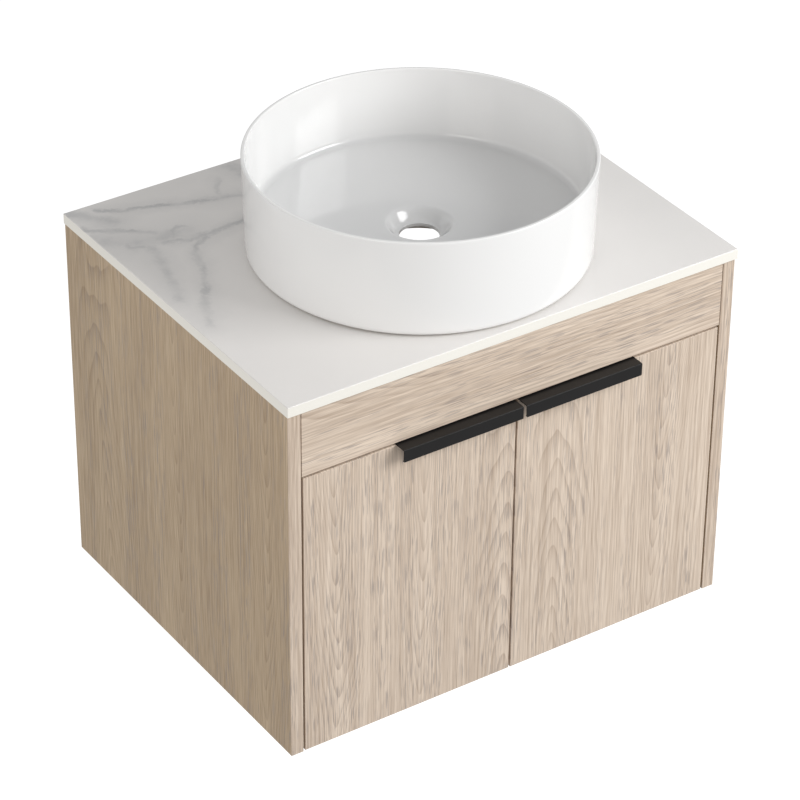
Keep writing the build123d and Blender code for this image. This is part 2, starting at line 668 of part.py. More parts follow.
def arm_screw():
    """The screw that holds one arm down on its mounting plate."""
    shank = rod((ARM_SCREW_TIP_U, ARM_SCREW_V, 0), (ARM_HIGH_U, ARM_SCREW_V, 0), SCREW_R)
    head_u = ARM_HIGH_U + ARM_SCREW_HEAD_H
    return shank + rod((ARM_HIGH_U, ARM_SCREW_V, 0), (head_u, ARM_SCREW_V, 0), ARM_SCREW_HEAD_R)


def mounting_plate():
    """One mounting plate: screw wings on the side panel and a block under the arm."""
    half_v, half_z = PLATE_W / 2, PLATE_L / 2
    plate = block(0, PLATE_T, PLATE_V - half_v, PLATE_V + half_v, -half_z, half_z)
    plate += block(0, ARM_LOW_U, BLOCK_START_V, ARM_END_V, -BLOCK_HALF_Z, BLOCK_HALF_Z)
    plate -= rod((0, ARM_SCREW_V, 0), (ARM_LOW_U, ARM_SCREW_V, 0), SCREW_R + FIT)
    return plate - plate_screws(FIT)


def plate_screws(clearance=0.0):
    """The two screws of one mounting plate, into the side panel."""
    screws = []
    for z in (-PLATE_SCREW_PITCH / 2, PLATE_SCREW_PITCH / 2):
        tip_u = -PLATE_SCREW_L - clearance
        shank = rod((tip_u, PLATE_V, z), (PLATE_T, PLATE_V, z), PLATE_SCREW_R + clearance)
        head = rod((PLATE_T, PLATE_V, z), (PLATE_T + SCREW_HEAD_H, PLATE_V, z), SCREW_HEAD_R)
        screws.append(shank if clearance else shank + head)
    return screws


# ---------------------------------------------------------------- the nodes

def carcass_nodes():
    """Every fixed piece."""
    joints = board_joints().values()
    dowels = [dowel(point) for joint in joints for point in joint["dowels"]]
    locks = [cam_lock(p, joint["bore"], joint["face"]) for joint in joints for p in joint["cams"]]
    bolts = [cam_bolt(point) for joint in joints for point in joint["cams"]]
    panel, band = side_panel(), side_edge_band()
    return {
        "side_panel_right": panel,
        "side_panel_left": mirrored(panel),
        "side_edge_band_right": band,
        "side_edge_band_left": mirrored(band),
        "bottom_panel": bottom_panel(),
        "bottom_edge_band": bottom_edge_band(),
        "false_front": false_front(),
        "front_rail": front_rail(),
        "rear_top_rail": rear_rail("rear_top_rail", CABINET_H - REAR_RAIL_H),
        "rear_bottom_rail": rear_rail("rear_bottom_rail", PANEL),
        "stone_top": stone_top(),
        "basin": basin(),
        "basin_seal": basin_seal(),
        "dowels": group(both_sides(dowels)),
        "cam_locks": group(both_sides(locks)),
        "cam_bolts": group(both_sides(bolts)),
        "false_front_screws": group([screw() for screw in false_front_screw_makers()]),
    }


def door_side_nodes():
    """Every piece of the left door and its hinges, by its name without a side."""
    return {
        "door": door(),
        "door_edge_bands": door_edge_bands(),
        "handle": handle(),
        "handle_screws": group(handle_screws()),
        "door_bumpers": group(bumpers()),
        "hinge_cups": group(placed_hinges(hinge_cup)),
        "cup_screws": group(placed_hinges(cup_screws)),
        "cup_pins": group(placed_hinges(cup_pin)),
        "hinge_links": group(placed_hinges(hinge_link)),
        "hinge_arms": group(placed_hinges(hinge_arm)),
        "arm_rivets": group(placed_hinges(arm_rivets)),
        "arm_screws": group(placed_hinges(arm_screw)),
        "mounting_plates": group(placed_hinges(mounting_plate)),
        "plate_screws": group(placed_hinges(plate_screws)),
    }


def nodes():
    """Every node of the vanity by name."""
    made = carcass_nodes()
    for name, shape in door_side_nodes().items():
        made[name + "_left"] = shape
        made[name + "_right"] = mirrored(shape)
    return made


def main():
    os.makedirs("parts", exist_ok=True)
    for name, shape in nodes().items():
        export_step(shape, f"parts/{name}.step")
    pin, nose = pivots()
    print("pole", POLE, "cup pin", pin, "nose", nose, "link ratio", link_ratio())
    print("door top", DOOR_TOP, "inner x", INNER_X)


main()
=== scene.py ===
"""Looks of a wall-hung oak vanity with a stone top and a round vessel basin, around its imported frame.

Everything is in metres in the frame's own axes: +X right, +Y towards the wall, +Z up. The origin is on
the wall plane at the middle of the cabinet's bottom edge.
"""

import json
import math

import bmesh
import bpy
import numpy as np
from bpy.props import FloatProperty, FloatVectorProperty, PointerProperty
from mathutils import Matrix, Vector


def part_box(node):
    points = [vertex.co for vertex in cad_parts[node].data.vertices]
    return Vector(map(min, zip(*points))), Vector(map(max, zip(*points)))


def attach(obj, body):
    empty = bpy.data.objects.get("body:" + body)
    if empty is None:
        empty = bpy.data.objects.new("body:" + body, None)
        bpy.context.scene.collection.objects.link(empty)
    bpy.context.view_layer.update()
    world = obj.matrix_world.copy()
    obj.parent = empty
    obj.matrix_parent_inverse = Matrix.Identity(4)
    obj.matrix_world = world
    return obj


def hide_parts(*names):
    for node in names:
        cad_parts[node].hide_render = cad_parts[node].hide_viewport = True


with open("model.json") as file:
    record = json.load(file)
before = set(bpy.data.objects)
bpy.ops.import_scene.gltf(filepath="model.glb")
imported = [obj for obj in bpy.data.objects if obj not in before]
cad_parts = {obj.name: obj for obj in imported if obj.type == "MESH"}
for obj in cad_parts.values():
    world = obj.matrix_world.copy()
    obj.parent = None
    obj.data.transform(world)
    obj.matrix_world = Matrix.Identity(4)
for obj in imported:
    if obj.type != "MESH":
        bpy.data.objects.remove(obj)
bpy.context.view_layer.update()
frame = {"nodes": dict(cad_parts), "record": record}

bl_info = {
    "name": "Wall-hung vanity",
    "version": (1, 0, 0),
    "blender": (4, 5, 0),
    "location": "3D View > Sidebar > Vanity",
    "description": "Finishes the oak cabinet, the stone top, the basin and the fittings",
    "category": "Object",
}

MM = 0.001
SIDES = ("left", "right")
TURN_STEPS = 256  # steps round the basin
SEAL_STEPS = 192  # steps round the bead of sealant
SCREW_STEPS = 48  # steps round a screw


# ---------------------------------------------------------------- settings

def colour(name, description, default):
    """A colour setting."""
    return FloatVectorProperty(name=name, description=description, default=default, size=3,
                               subtype="COLOR", min=0.0, max=1.0)


def length(name, description, millimetres):
    """A length setting, given in millimetres."""
    return FloatProperty(name=name, description=description, default=millimetres * MM,
                         unit="LENGTH", precision=4)


def number(name, description, default):
    """A plain number setting."""
    return FloatProperty(name=name, description=description, default=default)


class OakSettings(bpy.types.PropertyGroup):
    light: colour("Light wood", "Pale wood between the grain lines", (0.765, 0.645, 0.53))
    dark: colour("Grain", "Darker wood along the grain lines", (0.42, 0.32, 0.24))
    pore: colour("Pores", "Grey of the open pores", (0.25, 0.215, 0.205))
    # painted shade: a darker, warmer tint on the side panels' boards stands in for their shade
    painted_side_shade: colour("Painted side shade", "Darker, warmer tint painted on the side panels' boards as shade", (0.745, 0.685, 0.56))
    ring_gap: length("Ring gap", "Distance between growth rings across the grain", 5.5)
    heart_depth: length("Heart depth", "How far the tree's heart lies behind the board's face", 7.0)
    heart_width: length("Heart width", "How far the figure reaches to each side of the heart", 34.0)
    taper: number("Taper", "Ring's drift towards the heart for each metre along the grain", 0.135)
    emboss: length("Emboss", "Depth of the pores pressed into the decor", 0.06)


class MarbleSettings(bpy.types.PropertyGroup):
    ground: colour("Ground", "White of the polished face", (0.81, 0.79, 0.77))
    vein: colour("Vein", "Grey of the veins", (0.33, 0.34, 0.355))
    body: colour("Body", "Cream of the cut edges", (0.86, 0.84, 0.78))


class BasinSettings(bpy.types.PropertyGroup):
    glaze: colour("Glaze", "White of the glaze", (0.86, 0.86, 0.855))
    # painted shade: grey mixed into the glaze on the bowl's floor to darken it as shade
    painted_floor_shade: colour("Painted floor shade", "Grey painted on the bowl's floor as shade", (0.57, 0.575, 0.58))
    clay: colour("Clay", "Bare clay under the foot", (0.70, 0.67, 0.62))
    wall: length("Wall", "Thickness of the basin's wall", 4.5)
    draft: length("Draft", "How much smaller the wall's radius is at the foot", 3.0)
    rim_round: length("Rim round", "Radius of the rim's two edges", 1.2)
    foot_round: length("Foot round", "Radius between the wall and the foot", 8.0)
    floor_edge: length("Floor edge", "Height of the floor at the wall's fillet", 32.0)
    floor_fillet: length("Floor fillet", "Radius between the floor and the wall", 8.0)
    dimple_radius: length("Dimple radius", "Where the floor starts to dip to the waste", 40.0)
    dimple_height: length("Dimple height", "Height of the floor there", 29.0)
    waste_height: length("Waste height", "Height of the waste's lip", 14.5)
    waste_radius: length("Waste radius", "Radius of the waste hole", 23.0)
    waste_lip: length("Waste lip", "Radius of the waste's rounded lip", 1.0)
    foot_ring: length("Foot ring", "Width of the ring that the basin stands on", 12.0)
    boss_radius: length("Boss radius", "Radius of the boss round the waste hole", 48.0)
    boss_lift: length("Boss lift", "Height of the boss's underside", 10.0)
    recess: length("Recess", "Depth of the hollow underneath", 18.0)


class MetalSettings(bpy.types.PropertyGroup):
    black: colour("Anodised black", "Colour of the pulls", (0.006, 0.0055, 0.0055))
    nickel: colour("Nickel", "Colour of the hinges", (0.66, 0.64, 0.60))
    zinc: colour("Zinc", "Colour of screws and cams", (0.62, 0.63, 0.64))
    recess_depth: length("Recess depth", "Depth of a screw head's cross recess", 1.1)
    thread_depth: length("Thread depth", "Depth of a screw's thread", 0.35)
    thread_pitch: length("Thread pitch", "Pitch of a screw's thread", 1.8)


class StageSettings(bpy.types.PropertyGroup):
    floor_height: length("Floor height", "Height of the floor under the wall-hung cabinet", -900.0)
    key_power: number("Key light", "Power of the large light at the front right, in watts", 86.0)
    fill_power: number("Fill light", "Power of the warm fill light at the left, in watts", 14.0)
    level_light: number("Level light", "Strength of the surroundings at the height of the eye", 0.60)
    top_light: number("Top light", "Strength of the surroundings overhead", 0.46)
    lens: FloatProperty(name="Lens", description="Focal length of the camera", default=159.15)
    roll: FloatProperty(name="Roll", description="Camera's roll", default=math.radians(0.525),
                        unit="ROTATION")


SETTINGS = {
    "vanity_oak": OakSettings,
    "vanity_marble": MarbleSettings,
    "vanity_basin": BasinSettings,
    "vanity_metal": MetalSettings,
    "vanity_stage": StageSettings,
}


# ---------------------------------------------------------------- material helpers

class Finish:
    """A node material under construction: each call adds one node and returns its output socket."""

    def __init__(self, name, **shader):
        self.material = bpy.data.materials.new(name)
        self.material.use_nodes = True
        self.nodes = self.material.node_tree.nodes
        self.links = self.material.node_tree.links
        self.shader = self.nodes["Principled BSDF"]
        for key, value in shader.items():
            self.set(key.replace("_", " ").capitalize(), value)

    def set(self, socket, value):
        """Sets or links one of the shader's sockets."""
        names = {"Coat weight": "Coat Weight", "Coat roughness": "Coat Roughness",
                 "Base color": "Base Color", "Transmission weight": "Transmission Weight", "Ior": "IOR"}
        self.put(self.shader.inputs[names.get(socket, socket)], value)

    def put(self, socket, value):
        """Links a socket to an output, or sets its value."""
        if isinstance(value, bpy.types.NodeSocket):
            self.links.new(value, socket)
        elif isinstance(value, (tuple, list)) or hasattr(value, "r"):
            value = tuple(value)
            socket.default_value = value + (1.0,) if len(value) < len(socket.default_value) else value
        else:
            socket.default_value = value

    def node(self, kind, inputs=(), **settings):
        """Adds a node with its settings and its inputs by index or name."""
        node = self.nodes.new(kind)
        for key, value in settings.items():
            setattr(node, key, value)
        for key, value in dict(inputs).items():
            self.put(node.inputs[key], value)
        return node

    def place(self):
        """The surface point in the frame's own axes."""
        return self.node("ShaderNodeTexCoord").outputs["Object"]

    def split(self, vector):
        """The three parts of a vector."""
        return self.node("ShaderNodeSeparateXYZ", {0: vector}).outputs

    def join(self, x, y, z):
        """A vector from three parts."""
        return self.node("ShaderNodeCombineXYZ", {0: x, 1: y, 2: z}).outputs[0]

    def math(self, operation, *values):
        """One sum on plain numbers."""
        return self.node("ShaderNodeMath", dict(enumerate(values)), operation=operation).outputs[0]

    def span(self, value, low, high, to_low=0.0, to_high=1.0):
        """A value taken smoothly from one range to another."""
        inputs = {0: value, 1: low, 2: high, 3: to_low, 4: to_high}
        return self.node("ShaderNodeMapRange", inputs, interpolation_type="SMOOTHSTEP").outputs[0]

    def noise(self, vector, detail=2.0, roughness=0.5, scale=1.0):
        """Soft noise at a point that is already in the pattern's own scale."""
        inputs = {"Vector": vector, "Scale": scale, "Detail": detail, "Roughness": roughness}
        return self.node("ShaderNodeTexNoise", inputs).outputs[0]

    def blend(self, share, first, second):
        """Two colours mixed by a share."""
        node = self.node("ShaderNodeMix", data_type="RGBA")
        sockets = [s for s in node.inputs if s.type == "RGBA"]
        self.put(node.inputs[0], share)
        self.put(sockets[0], first)
        self.put(sockets[1], second)
        return [s for s in node.outputs if s.type == "RGBA"][0]

    def bump(self, height, distance, strength=1.0):
        """Relief from a height between 0 and 1 and its depth in metres."""
        inputs = {"Height": height, "Distance": distance, "Strength": strength}
        self.set("Normal", self.node("ShaderNodeBump", inputs).outputs[0])


def dress(names, finish):
    """Gives CAD nodes one finish."""
    for name in names:
        node = frame["nodes"][name]
        node.data.materials.clear()
        node.data.materials.append(finish.material)


# ---------------------------------------------------------------- mesh helpers


def islands(node):
    """The (low, high) corners of each separate solid in a CAD node, lowest first.

    Vertices at one place share a label, each triangle spreads its lowest label, and this is repeated
    until no label changes.
    """
    mesh = frame["nodes"][node].data
    places = np.empty(len(mesh.vertices) * 3)
    mesh.vertices.foreach_get("co", places)
    places = places.reshape(-1, 3)
    mesh.calc_loop_triangles()
    corners = np.empty(len(mesh.loop_triangles) * 3, dtype=np.int64)
    mesh.loop_triangles.foreach_get("vertices", corners)
    spots, same = np.unique(np.round(places, 7), axis=0, return_inverse=True)
    triangles = same.reshape(-1)[corners].reshape(-1, 3)
    labels = np.arange(len(spots))
    while True:
        lowest = labels[triangles].min(axis=1)
        spread = labels.copy()
        np.minimum.at(spread, triangles.reshape(-1), np.repeat(lowest, 3))
        spread = spread[spread]
        if np.array_equal(spread, labels):
            break
        labels = spread
    boxes = [(spots[labels == k].min(axis=0), spots[labels == k].max(axis=0)) for k in np.unique(labels)]
    return sorted(boxes, key=lambda box: tuple(np.round(box[0][[2, 0, 1]], 5)))


def grid_faces(rows, columns):
    """Quads of a grid whose columns close on themselves."""
    row, column = np.meshgrid(np.arange(rows - 1), np.arange(columns), indexing="ij")
    after = (column + 1) % columns
    corners = [row * columns + column, row * columns + after, (row + 1) * columns + after,
               (row + 1) * columns + column]
    return np.stack(corners, axis=-1).reshape(-1, 4)


def make_piece(name, patches, finish):
    """One object from several (points, faces) patches, with doubles merged and every face outwards."""
    start, points, faces = 0, [], []
    for patch_points, patch_faces in patches:
        points.append(patch_points)
        faces.append(patch_faces + start)
        start += len(patch_points)
    mesh = bpy.data.meshes.new(name)
    mesh.from_pydata(np.concatenate(points).tolist(), [], np.concatenate(faces).tolist())
    work = bmesh.new()
    work.from_mesh(mesh)
    bmesh.ops.remove_doubles(work, verts=work.verts, dist=1e-7)
    bmesh.ops.dissolve_degenerate(work, edges=work.edges, dist=1e-8)
    bmesh.ops.recalc_face_normals(work, faces=work.faces)
    if work.calc_volume(signed=True) < 0:
        bmesh.ops.reverse_faces(work, faces=work.faces)
    work.to_mesh(mesh)
    work.free()
    mesh.shade_smooth()
    mesh.set_sharp_from_angle(angle=math.radians(38))
    mesh.materials.append(finish.material)
    piece = bpy.data.objects.new(name, mesh)
    bpy.context.collection.objects.link(piece)
    return piece


def stand_in(piece, node):
    """A piece takes the place of one CAD node: its body and its space."""
    bodies = frame["record"]["behaviour"]["bodies"]
    body = next(name for name, nodes in bodies.items() if node in nodes)
    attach(piece, body)
    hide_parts(node)


def turn(profile, start, axis, steps, ripple=None):
    """A surface of revolution.

    Point (i, j) is start + height_i along the axis + radius_i round it at the angle 2 pi j / steps. A
    ripple takes the arrays of radius, height and angle and returns changed radii and heights.
    """
    axis = np.array(axis, dtype=float)
    side = np.array((0.0, 0.0, 1.0)) if abs(axis[2]) < 0.5 else np.array((1.0, 0.0, 0.0))
    other = np.cross(axis, side)
    angle = np.arange(steps) * 2 * math.pi / steps
    radius, height = (np.repeat(np.array(profile)[:, k:k + 1], steps, axis=1) for k in (0, 1))
    angle = np.repeat(angle[None, :], len(profile), axis=0)
    if ripple:
        radius, height = ripple(radius, height, angle)
    points = (np.array(start) + height[..., None] * axis + (radius * np.cos(angle))[..., None] * side
              + (radius * np.sin(angle))[..., None] * other)
    return points.reshape(-1, 3), grid_faces(len(profile), steps)


def arc(centre, radius, first, last, count=8):
    """Points of an arc between two angles in degrees."""
    angles = np.radians(np.linspace(first, last, count))
    return [(centre[0] + radius * math.cos(a), centre[1] + radius * math.sin(a)) for a in angles]


def line(start, end, count):
    """Evenly spaced points from start up to, but without, end."""
    shares = np.arange(count) / count
    return [(start[0] + (end[0] - start[0]) * s, start[1] + (end[1] - start[1]) * s) for s in shares]


# ---------------------------------------------------------------- oak

GRAINS = {  # which axes run across the grain, along it and into the board
    "front": (0, 2, 1),
    "side": (1, 2, 0),
    "level": (2, 0, 1),
    "flat": (1, 0, 2),
}

# The pointed figures of each board: the place of the heart across the grain, and the sign of the rise
PLAIN_HEART = ((0.0, 1),)
SIDE_HEARTS = ((-0.245, 1), (-0.43, 1), (-0.07, -1))
FALSE_FRONT_HEARTS = ((0.47, 1),)
LEFT_DOOR_HEARTS = ((-0.243, 1), (-0.128, 1), (-0.011, -1))
RIGHT_DOOR_HEARTS = ((0.062, -1), (0.21, 1))


def oak_finish(name, grain, shift, hearts=PLAIN_HEART, shade_tint=(1.0, 1.0, 1.0)):
    """Light oak decor: pointed figures round each heart, fine streaks, grey pores and a pressed relief.

    A board cuts the cone of a growth ring in a hyperbola. With u across from the heart and v along the
    grain, the ring's number is (sqrt(u^2 + depth^2) - rise v) / gap, where the rise fades away from the
    heart, so the rings turn into straight lines there. The shift sets each board's own noise.
    """
    oak = bpy.context.scene.vanity_oak
    f = Finish(name)
    place = f.split(f.place())
    across, along, into = (place[k] for k in GRAINS[grain])

    def stretched(per_across, per_along):
        """The point in a scale of its own across and along the grain, shifted for each board."""
        return f.join(f.math("MULTIPLY", f.math("ADD", across, shift), per_across),
                      f.math("MULTIPLY", f.math("ADD", along, shift * 0.7), per_along),
                      f.math("MULTIPLY", into, per_across * 0.3))

    sway = f.math("MULTIPLY_ADD", f.noise(stretched(9.0, 3.2), detail=2.0), 0.05, -0.025)
    waver = f.math("MULTIPLY_ADD", f.noise(stretched(40.0, 6.0), detail=2.0), 0.8, -0.4)
    rings, figured = None, None
    for middle, rise in hearts:
        off = f.math("ABSOLUTE", f.math("ADD", f.math("SUBTRACT", across, middle), sway))
        reach = f.math("SQRT", f.math("MULTIPLY_ADD", off, off, oak.heart_depth ** 2))
        square = f.math("MULTIPLY", off, off)
        near = f.math("DIVIDE", 1.0, f.math("MULTIPLY_ADD", square, oak.heart_width ** -2, 1.0))
        drift = f.math("MULTIPLY", f.math("MULTIPLY", along, near), -rise * oak.taper)
        count = f.math("MULTIPLY", f.math("ADD", reach, drift), 1 / oak.ring_gap)
        if rings is None:
            rings, figured, nearest = count, near, off
        else:
            closer = f.math("LESS_THAN", off, nearest)
            rings = f.math("ADD", f.math("MULTIPLY", closer, f.math("SUBTRACT", count, rings)), rings)
            figured = f.math("MAXIMUM", figured, near)
            nearest = f.math("MINIMUM", nearest, off)
    ring = f.math("FRACT", f.math("ADD", rings, waver))
    ring_line = f.math("MULTIPLY", f.math("POWER", ring, 3.0), f.span(ring, 0.93, 1.0, 1.0, 0.0))
    patch = f.span(f.noise(stretched(14.0, 2.2), detail=1.0), 0.42, 0.60, 0.10, 0.85)
    ring_line = f.math("MULTIPLY", ring_line, f.math("MAXIMUM", patch, f.span(figured, 0.25, 0.8)))

    wide = f.span(f.noise(stretched(22.0, 0.9), detail=2.0), 0.38, 0.62)
    streak = f.span(f.noise(stretched(380.0, 3.6), detail=2.0, roughness=0.6), 0.36, 0.64)
    fibre = f.span(f.noise(stretched(760.0, 20.0), detail=2.0, roughness=0.6), 0.36, 0.64)
    dash = f.noise(stretched(820.0, 30.0), detail=1.0, roughness=0.5)
    pore = f.span(f.math("MULTIPLY_ADD", ring_line, 0.08, dash), 0.54, 0.64)
    zone = f.span(f.noise(stretched(42.0, 1.6), detail=2.0), 0.42, 0.60, 0.15, 1.0)
    pore = f.math("MULTIPLY", pore, zone)

    share = f.math("MULTIPLY", ring_line, 0.42)
    for pattern, weight in ((wide, 0.16), (streak, 0.33), (fibre, 0.28)):
        share = f.math("MULTIPLY_ADD", pattern, weight, share)
    # the shade tint darkens and warms the wood: painted shade on the side panels, white elsewhere
    light = tuple(a * b for a, b in zip(oak.light, shade_tint))
    dark = tuple(a * b for a, b in zip(oak.dark, shade_tint))
    base = f.blend(share, light, dark)
    base = f.blend(f.math("MULTIPLY", pore, 0.52), base, tuple(oak.pore))
    f.set("Base color", base)
    f.set("Roughness", f.span(fibre, 0.0, 1.0, 0.46, 0.60))
    relief = f.math("SUBTRACT", f.math("MULTIPLY", fibre, 0.35), f.math("MULTIPLY", pore, 0.65))
    f.bump(relief, oak.emboss, 0.6)
    return f


class VANITY_OT_oak(bpy.types.Operator):
    """Finish every board and edge band in light oak decor"""

    bl_idname = "vanity.oak"
    bl_label = "Oak boards"

    def execute(self, context):
        # the side panels take the darker, warmer tint as painted shade
        shade_tint = tuple(context.scene.vanity_oak.painted_side_shade)
        dress(["side_panel_left"], oak_finish("oak_side_left", "side", 0.31, SIDE_HEARTS, shade_tint))
        dress(["side_panel_right"], oak_finish("oak_side_right", "side", 4.37, SIDE_HEARTS, shade_tint))
        dress(["false_front"], oak_finish("oak_false_front", "level", 2.05, FALSE_FRONT_HEARTS))
        dress(["door_left"], oak_finish("oak_door_left", "front", 1.13, LEFT_DOOR_HEARTS))
        dress(["door_right"], oak_finish("oak_door_right", "front", 1.13, RIGHT_DOOR_HEARTS))
        bands = [name + side for name in ("side_edge_band_", "door_edge_bands_") for side in SIDES]
        dress(bands, oak_finish("oak_upright_bands", "front", 3.41))
        dress(["bottom_edge_band"], oak_finish("oak_level_band", "level", 5.2))
        dress(["front_rail", "rear_top_rail", "rear_bottom_rail"], oak_finish("oak_rails", "level", 6.6))
        dress(["bottom_panel"], oak_finish("oak_bottom", "flat", 7.3))
        return {"FINISHED"}


# ---------------------------------------------------------------- stone top

VEINS = (  # each vein's course in metres, its half width and its strength
    (((-0.265, -0.012), (-0.242, -0.031), (-0.204, -0.042), (-0.155, -0.061), (-0.109, -0.074)),
     0.006, 0.38),
    (((-0.155, -0.061), (-0.120, -0.070), (-0.060, -0.078)), 0.01, 0.30),
    (((-0.300, -0.004), (-0.285, -0.022), (-0.262, -0.048)), 0.016, 0.36),
    (((-0.300, -0.044), (-0.279, -0.060), (-0.258, -0.074), (-0.235, -0.096)), 0.008, 0.36),
    (((-0.297, -0.072), (-0.283, -0.088), (-0.250, -0.104), (-0.200, -0.112)), 0.02, 0.28),
    (((-0.273, -0.101), (-0.272, -0.110), (-0.262, -0.114)), 0.008, 0.30),
    (((-0.222, -0.112), (-0.212, -0.103), (-0.204, -0.098), (-0.197, -0.103)), 0.006, 0.34),
    (((-0.241, -0.108), (-0.217, -0.113), (-0.203, -0.124), (-0.187, -0.127)), 0.008, 0.30),
    (((-0.236, -0.116), (-0.206, -0.130), (-0.185, -0.132), (-0.147, -0.127), (-0.110, -0.116)),
     0.007, 0.38),
    (((-0.188, -0.136), (-0.211, -0.144), (-0.221, -0.166), (-0.233, -0.200), (-0.253, -0.239)),
     0.007, 0.34),
    (((-0.253, -0.239), (-0.264, -0.255), (-0.284, -0.299)), 0.009, 0.24),
    (((-0.255, -0.118), (-0.260, -0.159), (-0.277, -0.207), (-0.284, -0.232)), 0.011, 0.28),
    (((-0.084, -0.010), (-0.079, -0.034)), 0.012, 0.36),
    (((-0.111, -0.028), (-0.127, -0.055), (-0.128, -0.067)), 0.006, 0.20),
)


def marble_finish():
    """Polished white slab with soft grey veins at the back left, and a plain cream body at its edges.

    A vein is dark where its nearest stretch is close: for a stretch from a to b, the distance from p is
    |p - a - t (b - a)|, where t is (p - a).(b - a) / |b - a|^2 held between 0 and 1. Noise shifts p
    first.
    """
    marble = bpy.context.scene.vanity_marble
    f = Finish("marble_top")
    place = f.place()
    x, y, z = f.split(place)
    tilt = f.join(f.math("ADD", x, 3.1), y, z)
    shift_x = f.noise(place, detail=5.0, roughness=0.72, scale=34.0)
    shift_y = f.noise(tilt, detail=5.0, roughness=0.72, scale=34.0)
    px = f.math("MULTIPLY_ADD", shift_x, 0.026, f.math("SUBTRACT", x, 0.013))
    py = f.math("MULTIPLY_ADD", shift_y, 0.026, f.math("SUBTRACT", y, 0.013))

    def stretch(start, end):
        """Distance from one straight stretch of a vein."""
        run = (end[0] - start[0], end[1] - start[1])
        square = run[0] ** 2 + run[1] ** 2
        dx, dy = f.math("SUBTRACT", px, start[0]), f.math("SUBTRACT", py, start[1])
        along = f.math("MULTIPLY_ADD", dx, run[0] / square, f.math("MULTIPLY", dy, run[1] / square))
        along = f.math("MINIMUM", f.math("MAXIMUM", along, 0.0), 1.0)
        left_x = f.math("MULTIPLY_ADD", along, -run[0], dx)
        left_y = f.math("MULTIPLY_ADD", along, -run[1], dy)
        return f.math("SQRT", f.math("MULTIPLY_ADD", left_x, left_x, f.math("MULTIPLY", left_y, left_y)))

    patchy = f.span(f.noise(place, detail=3.0, roughness=0.6, scale=30.0), 0.32, 0.66, 0.30, 1.0)
    share = 0.0
    for course, width, strength in VEINS:
        near = stretch(course[0], course[1])
        for start, end in zip(course[1:], course[2:]):
            near = f.math("MINIMUM", near, stretch(start, end))
        shade = f.math("MULTIPLY", f.span(near, 0.0, width, strength, 0.0), patchy)
        halo = f.span(near, 0.0, 0.008 + 2.5 * width, strength * 0.42, 0.0)
        share = f.math("MAXIMUM", share, f.math("ADD", shade, halo))
    drift = f.span(f.noise(place, detail=4.0, scale=5.0), 0.3, 0.75, 0.0, 0.05)
    share = f.math("MINIMUM", f.math("ADD", share, drift), 0.85)
    face = f.blend(share, tuple(marble.ground), tuple(marble.vein))
    grit = f.noise(place, detail=2.0, scale=900.0)
    body = f.blend(f.span(grit, 0.3, 0.7, 0.0, 0.12), tuple(marble.body), (0.70, 0.67, 0.60))
    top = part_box("stone_top")[1][2]
    on_top = f.span(z, top - 1.1 * MM, top - 0.3 * MM)
    f.set("Base color", f.blend(on_top, body, face))
    f.set("Roughness", f.span(on_top, 0.0, 1.0, 0.55, 0.17))
    f.bump(grit, 0.02 * MM, 0.25)
    return f


class VANITY_OT_stone(bpy.types.Operator):
    """Finish the stone top"""

    bl_idname = "vanity.stone"
    bl_label = "Stone top"

    def execute(self, context):
        dress(["stone_top"], marble_finish())
        return {"FINISHED"}


# ---------------------------------------------------------------- basin

# the painted shade on the bowl's floor fades out between these radii
BOWL_EDGE = (190 * MM, 193.5 * MM)  # radii between which the inside gives way to the outside


def glaze_finish():
    """White glaze with a faint ripple and painted shade greying the bowl's depth, over bare clay under
    the foot.
    """
    basin = bpy.context.scene.vanity_basin
    corner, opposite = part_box("basin")
    low = corner[2]
    f = Finish("white_glaze", coat_weight=0.4, coat_roughness=0.05)
    place = f.place()
    x, y, z = f.split(place)
    off_x = f.math("SUBTRACT", x, (corner[0] + opposite[0]) / 2)
    off_y = f.math("SUBTRACT", y, (corner[1] + opposite[1]) / 2)
    square = f.math("MULTIPLY_ADD", off_x, off_x, f.math("MULTIPLY", off_y, off_y))
    bowl = f.span(square, BOWL_EDGE[0] ** 2, BOWL_EDGE[1] ** 2, 1.0, 0.0)
    # painted shade: inside the bowl the glaze greys towards the floor, at most half way to the shade
    # grey
    shade_share = f.math("MULTIPLY", bowl, f.span(z, low + 30 * MM, low + 52 * MM, 0.5, 0.0))
    glazed = f.span(z, low + 0.2 * MM, low + 1.0 * MM)
    speck = f.noise(place, detail=3.0, scale=700.0)
    clay = f.blend(f.span(speck, 0.35, 0.65), tuple(basin.clay), (0.62, 0.58, 0.52))
    cloud = f.span(f.noise(place, detail=2.0, scale=6.0), 0.3, 0.7, 0.0, 0.08)
    tone = f.blend(cloud, tuple(basin.glaze), (0.80, 0.80, 0.80))
    # paints the shade onto the bowl's floor
    tone = f.blend(shade_share, tone, tuple(basin.painted_floor_shade))
    f.set("Base color", f.blend(glazed, clay, tone))
    f.set("Roughness", f.span(glazed, 0.0, 1.0, 0.6, 0.12))
    f.bump(f.noise(place, detail=2.0, scale=55.0), 0.06 * MM, 0.35)
    return f


